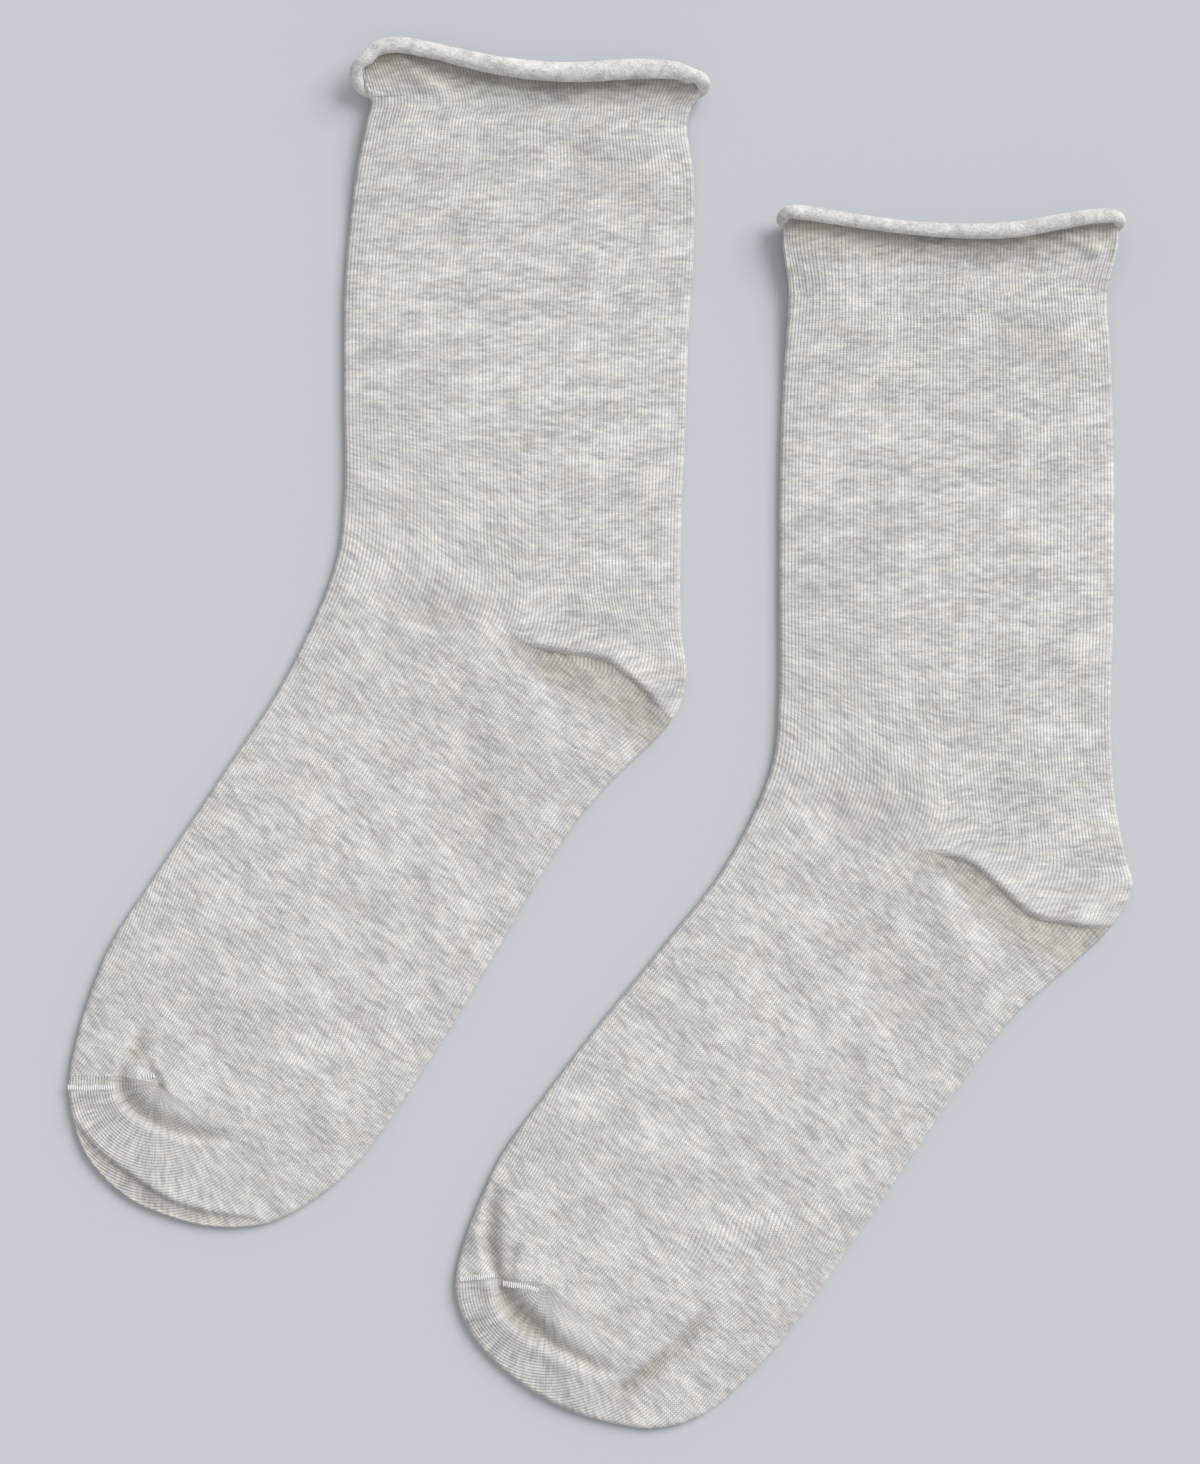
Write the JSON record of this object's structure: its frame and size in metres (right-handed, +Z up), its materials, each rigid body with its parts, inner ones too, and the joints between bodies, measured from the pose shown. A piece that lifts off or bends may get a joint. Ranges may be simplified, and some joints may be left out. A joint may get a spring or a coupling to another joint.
{
  "type": "pair of roll-top crew socks, laid flat",
  "caption": "Pair of fine-knit heather grey crew socks with rolled cuff edges, lying flat side by side with both toes turned the same way.",
  "frame": {"origin": "on the surface the pair lies on, under the middle of the pair's bounding box", "axes": "+Y from the toes towards the cuffs, +X from the left sock to the right sock, +Z up"},
  "size_m": [0.3199, 0.4162, 0.0134],
  "materials": {
    "heather_knit": "fine heather knit, matte",
    "curled_edge": "reverse side of the knit, matte and slightly fuzzy",
    "seam_thread": "white linking thread, matte"
  },
  "bodies": {
    "root": {"left_cuff_roll": "curled_edge", "left_cuff_band": "heather_knit", "left_leg": "heather_knit", "left_heel": "heather_knit", "left_foot": "heather_knit", "left_toe": "heather_knit", "left_toe_seam": "seam_thread", "right_cuff_roll": "curled_edge", "right_cuff_band": "heather_knit", "right_leg": "heather_knit", "right_heel": "heather_knit", "right_foot": "heather_knit", "right_toe": "heather_knit", "right_toe_seam": "seam_thread"}
  },
  "joints": []
}
